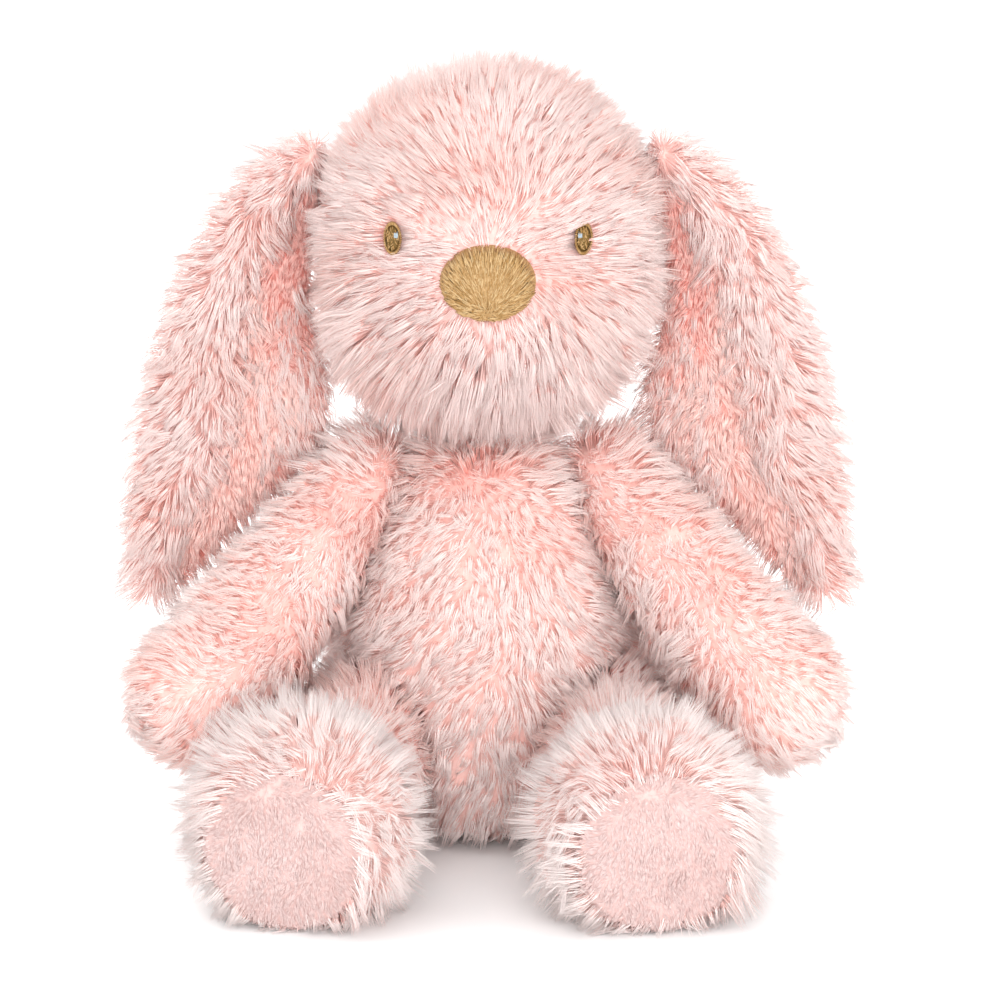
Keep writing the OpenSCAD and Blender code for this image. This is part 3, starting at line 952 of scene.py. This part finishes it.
def ear_places(p, side):
    """How far along the ear, and how far across it from its inner edge, each point is."""
    inner, outer = ear_edges(EAR_GRID_T)
    grid = inner + (outer - inner) * EAR_GRID_SHARE[:, None]
    flat = np.concatenate([grid, np.zeros((len(grid), 1))], 1)
    at = nearest(flat, np.stack([p[:, 0] * side, p[:, 2], np.zeros(len(p))], 1))
    return EAR_GRID_T[at], EAR_GRID_SHARE[at]


def ear_comb(t, side, across):
    """Along the ear, and turned outwards, or inwards where across is below 0."""
    step = 0.02
    ahead, behind = ear_edges((t + step).clip(0, 1)), ear_edges((t - step).clip(0, 1))
    along = unit(ahead[0] + ahead[1] - behind[0] - behind[1])
    inner, outer = ear_edges(t)
    flow = along + unit(outer - inner) * across[:, None]
    return np.stack([flow[:, 0] * side, np.zeros(len(t)), flow[:, 1]], 1)


# How far across the ear its outer layer folds forward over the lining.
FOLD_AT = 0.56

for key, sign in SIDES.items():
    body = LIMB[key] + "_ear"
    verts, faces = ear_skin(OUTER_LOOP, sign)
    outer = Skin(verts, faces, lambda c: np.where(c[:, 1] > EAR_Y - 0.5, 1, 0))
    o = mesh_object("fabric_ear_outer_" + key, verts, faces, [BACKING])
    belongs(o, body, "ear_outer_" + key)
    verts, faces = ear_skin(LINING_LOOP, sign)
    lining = Skin(verts, faces, one_panel)
    o = mesh_object("fabric_ear_lining_" + key, verts, faces, [SHORT_BACKING])
    belongs(o, body, "ear_lining_" + key)

    for panel, name in enumerate(["front", "back"]):
        p, n = outer.roots(panel, (2.6, 1.5)[panel])
        t, share = ear_places(p, sign)
        keep = head_distance(p + n * 2) > np.interp(t, [0.08, 0.2], [-9, 0])
        if panel == 0:
            keep &= (share > FOLD_AT) & (n[:, 1] < 0.3)
        p, n, t, share = p[keep], n[keep], t[keep], share[keep]
        tip = ((110 - p[:, 2]) / 30).clip(0, 1)
        root = (1 - t / 0.14).clip(0, 1)
        # Painted shade: darker tints within a quarter of the ear's width from its inner edge, by the head, and
        # the rest a little paler.
        inner = (1 - share / 0.25).clip(0, 1)
        across = np.interp(share, [0, 0.3, 0.62, 0.74, 1], [-0.9, -0.5, -0.35, 0.25, 0.8])
        grow(f"pile_ear_{name}_{key}", p, n, ear_comb(t, sign, across), HEAD_PINK, 12.5 + 3.5 * tip, body=body,
             rise=0.25 * tip - 0.5 * root, painted_shade=0.7 * inner - 0.3)
    p, n = lining.roots(0, 2.6)
    t, share = ear_places(p, sign)
    keep = (n[:, 1] < 0.1) & (head_distance(p + n * 2) > 0) & (share < FOLD_AT + 0.03)
    p, n, t, share = p[keep], n[keep], t[keep], share[keep]
    across = np.interp(share, [0, 0.3, 0.6], [-0.9, -0.35, 0.1])
    comb = ear_comb(t, sign, across)
    # Near the lining's inner edge, most of all up by the cheek, the fibres take the deeper coral tints: painted
    # shade of the hollow beside the head.
    edge = np.interp(p[:, 2], [110, 150, 165, 205], [0.12, 0.16, 0.36, 0.55]) + RNG.normal(0, 0.05, len(p))
    for name, part, tints, length in (
        ("lining", share >= edge, SHORT_PINK, 7.5),
        ("hollow", share < edge, HOLLOW_SHADE_PINK, 6.0),
    ):
        grow(f"pile_ear_{name}_{key}", p[part], n[part], comb[part], tints, length, width=0.18, body=body,
             slot="short_pile")

# ---------- nose and eyes ----------

THREAD_SIDES = 5
PAD_STEPS = 40
PAD_SHELLS = 6


def head_front_y(x, z):
    """The front of the head's form at x and z."""
    a = np.arcsin(((z - HEAD_MID[2]) / HEAD_HALF).clip(-1, 1))
    r = HEAD_R * np.cos(a) ** np.where(a < 0, 0.66, 0.88)
    skull = HEAD_MID[1] - np.sqrt(np.maximum(r * r - x * x, 0))
    left = MUZZLE_R**2 - x * x - (z - MUZZLE[2]) ** 2
    muzzle = np.where(left > 0, MUZZLE[1] - np.sqrt(np.maximum(left, 0)), 1e3)
    return np.minimum(skull, muzzle)


def threads(name, starts, ends, radius, lift, materials, tint, node=None, steps=5):
    """Satin stitches over the face from start to end, as (x, z), which dip in at both ends."""
    count = len(starts)
    t = np.linspace(0, 1, steps)[None, :, None]
    xz = starts[:, None] * (1 - t) + ends[:, None] * t
    arch = lift[:, None] * (1 - (2 * t[..., 0] - 1) ** 4) - 0.5
    y = head_front_y(xz[..., 0], xz[..., 1]) - arch
    line = np.stack([xz[..., 0], y, xz[..., 1]], -1)
    d = unit(np.gradient(line, axis=1))
    u = unit(np.cross(d, np.array([0, -1.0, 0])))
    v = np.cross(d, u)
    rings = []
    for j in range(THREAD_SIDES):
        a = j * math.tau / THREAD_SIDES
        rings.append(line + radius * (u * math.cos(a) + v * math.sin(a)))
    verts = np.stack(rings, 2).reshape(-1, 3)
    per = steps * THREAD_SIDES
    base = (np.arange(count) * per)[:, None]
    quads = [base + np.array([f]) for f in bands(steps - 1, THREAD_SIDES)]
    caps = [base + np.arange(THREAD_SIDES), base + (per - 1 - np.arange(THREAD_SIDES))]
    tint_all = np.concatenate([np.tile(tint, len(quads)), np.tile(tint, 2)])
    o = mesh_object(name, verts, [np.concatenate(quads), np.concatenate(caps)], materials, tint_all)
    return belongs(o, "head", node)


def pad(name, node, inside, low, high, material, mid, half):
    """The padding under embroidery: a closed patch from low to high over the head's form, where inside(x, z) is
    below 1."""
    ring = []
    for j in range(PAD_STEPS):
        a = j * math.tau / PAD_STEPS
        direction = np.array([math.cos(a) * half[0], math.sin(a) * half[1]])
        lo, hi = 0.0, 1.6
        for _ in range(24):
            m = (lo + hi) / 2
            x, z = mid + direction * m
            lo, hi = (m, hi) if inside(np.array([x]), np.array([z]))[0] < 1 else (lo, m)
        ring.append(mid + direction * lo)
    ring = np.array(ring)
    verts, faces = [], []
    for layer in (high, low):
        centre = len(verts)
        verts.append([mid[0], head_front_y(np.array([mid[0]]), np.array([mid[1]]))[0] - layer, mid[1]])
        for s in range(1, PAD_SHELLS + 1):
            q = mid + (ring - mid) * s / PAD_SHELLS
            fall = layer - (0 if layer == low else (layer - low) * 0.8 * (s / PAD_SHELLS) ** 4)
            y = head_front_y(q[:, 0], q[:, 1]) - fall
            verts += np.stack([q[:, 0], y, q[:, 1]], 1).tolist()
        flip = layer == low
        for j in range(PAD_STEPS):
            f = (centre, centre + 1 + j, centre + 1 + (j + 1) % PAD_STEPS)
            faces.append(tuple(reversed(f)) if flip else f)
        for f in bands(PAD_SHELLS - 1, PAD_STEPS, centre + 1):
            faces.append(tuple(reversed(f)) if flip else f)
    top = 1 + (PAD_SHELLS - 1) * PAD_STEPS
    low_edge = top + 1 + PAD_SHELLS * PAD_STEPS
    for j in range(PAD_STEPS):
        a, b = top + j, top + (j + 1) % PAD_STEPS
        c, d = low_edge + j, low_edge + (j + 1) % PAD_STEPS
        faces.append((a, c, d, b))
    return belongs(mesh_object(name, np.array(verts), faces, [material]), "head", node)


NOSE_STITCHES = 1700
RIM_STITCHES = 46
IRIS_STITCHES = 60
GLINT_STITCHES = 5


def make_nose():
    """Stitches that fan out from low on the nose."""
    mid, half = NOSE_MID[[0, 2]], NOSE_HALF[[0, 2]]
    pad("nose_padding", "nose_embroidery", nose_share, -3.0, 1.0, GOLD[1], mid, half)
    apex = mid + np.array([0, -half[1] * 0.8])
    starts, ends = [], []
    while len(starts) < NOSE_STITCHES:
        q = mid + half * RNG.uniform(-1, 1, 2)
        if nose_share(np.array([q[0]]), np.array([q[1]]))[0] > 0.96:
            continue
        d = unit(q - apex + RNG.normal(0, 1.3, 2))
        span = RNG.uniform(2.4, 5.2)
        a, b = q - d * span * 0.5, q + d * span * 0.5
        ok = nose_share(np.array([a[0], b[0]]), np.array([a[1], b[1]])).max() < 1.02
        if ok:
            starts.append(a)
            ends.append(b)
    count = len(starts)
    lift = RNG.uniform(1.2, 1.9, count)
    tint = RNG.choice(3, count, p=[0.25, 0.45, 0.3])
    threads("nose_stitches", np.array(starts), np.array(ends), 0.17, lift, GOLD, tint)


def make_eye(key):
    """A rim of stitches round an iris of short ones, and a pale glint."""
    mid = EYES[key][[0, 2]]
    half = EYE_HALF[key][[0, 2]] * 0.93

    def inside(x, z):
        return np.sqrt(((x - mid[0]) / half[0]) ** 2 + ((z - mid[1]) / half[1]) ** 2)

    pad("eye_padding_" + key, "eye_" + key, inside, -3.0, 0.6, OLIVE, mid, half * 0.98)
    a = np.arange(RIM_STITCHES) / RIM_STITCHES * math.tau
    ring = np.stack([np.cos(a), np.sin(a)], 1)
    swirl = np.stack([np.cos(a + 0.12), np.sin(a + 0.12)], 1)
    threads("eye_rim_" + key, mid + ring * half * 0.82, mid + swirl * half * 1.05, 0.2,
            np.full(RIM_STITCHES, 1.3), GOLD, RNG.integers(0, 2, RIM_STITCHES), steps=4)
    spot = RNG.uniform(-1, 1, (IRIS_STITCHES, 2))
    spot *= (0.72 * np.sqrt(RNG.random((IRIS_STITCHES, 1)))) / np.linalg.norm(spot, axis=1, keepdims=True)
    turn = RNG.normal(math.pi / 2, 0.8, IRIS_STITCHES)
    reach = np.stack([np.cos(turn), np.sin(turn)], 1) * RNG.uniform(0.12, 0.3, (IRIS_STITCHES, 1))
    lift = RNG.uniform(1.0, 1.35, IRIS_STITCHES)
    tint = RNG.choice(3, IRIS_STITCHES, p=[0.3, 0.35, 0.35])
    threads("eye_iris_" + key, mid + (spot - reach) * half, mid + (spot + reach) * half, 0.17, lift,
            [OLIVE, GOLD[0], GOLD[1]], tint, steps=4)
    x, _, z = middle("eye_glint_" + key)
    offs = np.linspace(-0.55, 0.55, GLINT_STITCHES)
    starts = np.stack([x + offs, np.full(GLINT_STITCHES, z - 1.6)], 1)
    ends = np.stack([x + offs * 0.9, np.full(GLINT_STITCHES, z + 0.9)], 1)
    threads("eye_glint_stitches_" + key, starts, ends, 0.16, np.full(GLINT_STITCHES, 1.55), [GLINT],
            np.zeros(GLINT_STITCHES, int), node="eye_glint_" + key, steps=4)


make_nose()
for key in SIDES:
    make_eye(key)

# ---------- neck, threads and label ----------

BALL_ROWS = 20
BALL_COLS = 32


def ball(name, centre, radius, material, body, node):
    """A round lump, slightly uneven."""
    rows, cols = BALL_ROWS, BALL_COLS
    verts = [[0, 0, 1.0]]
    for i in range(1, rows):
        for j in range(cols):
            down, round_it = i / rows * math.pi, j / cols * math.tau
            across = math.sin(down)
            verts.append([across * math.cos(round_it), across * math.sin(round_it), math.cos(down)])
    verts.append([0, 0, -1.0])
    verts = np.array(verts)
    verts = verts * (1 - 0.02 * (1 + np.sin(verts[:, :1] * 5 + verts[:, 2:] * 4)))
    faces = [(0, 1 + j, 1 + (j + 1) % cols) for j in range(cols)]
    faces += bands(rows - 2, cols, 1)
    end = len(verts) - 1
    faces += [(end, end - cols + (j + 1) % cols, end - cols + j) for j in range(cols)]
    o = mesh_object(name, verts * radius + centre, faces, [material])
    return belongs(o, body, node)


TUBE_SIDES = 8


def tube(path, radius, closed=False):
    """The points and faces of a round thread along a path."""
    path = np.array(path)
    m = len(path)
    d = unit(np.roll(path, -1, 0) - np.roll(path, 1, 0) if closed else np.gradient(path, axis=0))
    u = unit(np.cross(d, np.array([0.13, 0.21, 0.97])))
    v = np.cross(d, u)
    a = np.arange(TUBE_SIDES) / TUBE_SIDES * math.tau
    outwards = u[:, None] * np.cos(a)[None, :, None] + v[:, None] * np.sin(a)[None, :, None]
    verts = (path[:, None] + radius * outwards).reshape(-1, 3)
    if not closed:
        return verts, bands(m - 1, TUBE_SIDES, inwards=True) + ends(m, TUBE_SIDES)
    return verts, [tuple(k % len(verts) for k in f) for f in bands(m, TUBE_SIDES, inwards=True)]


# The neck's filling is wrapped in gathered fabric, whose pile closes the gap between the head and the body.
NECK = middle("neck_stuffing")
NECK_R = (box_mm("neck_stuffing")[1][0] - box_mm("neck_stuffing")[0][0]) / 2
SEAM_THREAD_R = 0.45
ball("filling_neck", NECK, NECK_R - SKIN_T, FILLING, "neck", "neck_stuffing")
gathers = ball("fabric_neck", NECK, NECK_R, BACKING, "neck", "neck_stuffing")
p, n = Skin(points_of(gathers), faces_of(gathers), one_panel).roots(0, 2.8)
keep = np.abs(n[:, 2]) < 0.85
p, n = p[keep], n[keep]
grow("pile_neck", p, n, n * [1, 1, 0] - UP * 0.7, PINK, 14.0, body="neck", rise=0.3)
ring_low, ring_high = box_mm("neck_seam_thread")
ring_r = (ring_high[0] - ring_low[0]) / 2 - 0.5
turns = np.arange(96) / 96 * math.tau
ring = np.stack([NECK[0] + ring_r * np.cos(turns), NECK[1] + ring_r * np.sin(turns),
                 (ring_low[2] + ring_high[2]) / 2 + 0.25 * np.sin(turns * 12)], 1)
verts, faces = tube(ring, SEAM_THREAD_R, closed=True)
gathering = mesh_object("thread_neck_seam", verts, faces, [SEWING])
belongs(gathering, "neck", "neck_seam_thread")

# The hand-closed seam: short stitches across the middle of the back, on the fabric.
STITCHES = 9
STITCH_HALF = 3.0
STITCH_R = 0.4
seam_low, seam_high = box_mm("back_seam_thread")
back = skins["torso_stuffing"].verts
verts, faces = [], []
for i in range(STITCHES):
    z = seam_low[2] + (seam_high[2] - seam_low[2]) * (i + 0.5) / STITCHES
    near = back[(np.abs(back[:, 0]) < 3.5) & (back[:, 1] > BODY_AXIS[1]) & (np.abs(back[:, 2] - z) < 4)]
    y = near[:, 1].max() if len(near) else seam_high[1]
    a = np.linspace(0, 1, 7)
    path = np.stack([-STITCH_HALF + 2 * STITCH_HALF * a, y + 0.5 * np.sin(a * math.pi) - 0.1,
                     z + 1.2 * (a - 0.5)], 1)
    stitch_verts, stitch_faces = tube(path, STITCH_R)
    faces += [tuple(k + len(verts) for k in face) for face in stitch_faces]
    verts += stitch_verts.tolist()
stitches = mesh_object("thread_back_seam", np.array(verts), faces, [SEWING])
belongs(stitches, "torso", "back_seam_thread")

# The label is 20 mm wide and comes 26 mm out of the side seam, drooping as satin tape does.
LABEL_W, LABEL_LEN, LABEL_T = 20.0, 26.0, 0.35
LABEL_STEPS = 14


def make_label():
    """A closed strip, from inside the side seam outwards."""
    low, high = box_mm("care_label")
    along = np.linspace(0, LABEL_LEN, LABEL_STEPS)
    droop = np.radians(6 + 16 * along / LABEL_LEN)
    xs = np.concatenate([[0], np.cumsum(np.cos(droop[1:]) * np.diff(along))])
    zs = -np.concatenate([[0], np.cumsum(np.sin(droop[1:]) * np.diff(along))])
    start_x = low[0] - 2.0
    mid_z = (low[2] + high[2]) / 2 + 3
    verts, faces = [], []
    for layer in (-LABEL_T / 2, LABEL_T / 2):
        for i in range(LABEL_STEPS):
            wave = 0.6 * math.sin(i / LABEL_STEPS * 4)
            for side in (-LABEL_W / 2, LABEL_W / 2):
                verts.append([start_x + xs[i] + side * math.sin(droop[i]), BODY_AXIS[1] + layer + wave,
                              mid_z + zs[i] + side * math.cos(droop[i])])
    half = LABEL_STEPS * 2
    for a in range(0, half - 2, 2):
        faces.append((a, a + 1, a + 3, a + 2))
        faces.append((half + a, half + a + 2, half + a + 3, half + a + 1))
        faces.append((a, a + 2, half + a + 2, half + a))
        faces.append((a + 1, half + a + 1, half + a + 3, a + 3))
    end = half - 2
    faces.append((0, half, half + 1, 1))
    faces.append((end, end + 1, half + end + 1, half + end))
    return mesh_object("care_label_tape", np.array(verts), faces, [TAPE], smooth=False)


label = belongs(make_label(), "torso", "care_label")

# ---------- floor, light and camera ----------

FLOOR_HALF = 4000
FLOOR = fabric("pale_floor", (246, 246, 246), (250, 250, 250), scale=8.0, bump=0.0)
corners = np.array([[-1, -1, 0], [1, -1, 0], [1, 1, 0], [-1, 1, 0]]) * FLOOR_HALF
floor = mesh_object("floor", corners, [(0, 1, 2, 3)], [FLOOR], smooth=False)
scene = bpy.context.scene
scene.view_settings.view_transform = "Standard"
world = bpy.data.worlds.new("studio")
world.use_nodes = True
sky = world.node_tree.nodes["Background"].inputs
sky["Color"].default_value = (1, 1, 1, 1)
sky["Strength"].default_value = 1.25
scene.world = world

LIT_POINT = Vector((0, 0, 0.13))


def softbox(name, place, size, power):
    """A square area light that faces the toy."""
    lamp = bpy.data.lights.new(name, "AREA")
    lamp.shape = "SQUARE"
    lamp.size = size
    lamp.energy = power
    o = placed(name, lamp)
    o.location = place
    o.rotation_euler = (LIT_POINT - Vector(place)).to_track_quat("-Z", "Y").to_euler()


softbox("front", (0.25, -1.7, 0.35), 1.3, 26.0)
softbox("top", (-0.3, -0.1, 1.6), 1.2, 5.0)
softbox("back", (-0.2, 1.5, 0.8), 1.2, 12.0)

CAMERA_TARGET = Vector((0, 0, 0.120))
CAMERA_DISTANCE = 1.15
CAMERA_ELEVATION = math.radians(12.5)
camera = bpy.data.cameras.new("camera")
camera.lens = 122.5
camera.sensor_width = 36.0
camera.shift_x = 0.012
camera.shift_y = -0.003
eye = placed("camera", camera)
back = Vector((0, -math.cos(CAMERA_ELEVATION), math.sin(CAMERA_ELEVATION)))
eye.location = CAMERA_TARGET + back * CAMERA_DISTANCE
eye.rotation_euler = (-back).to_track_quat("-Z", "Y").to_euler()
scene.camera = eye
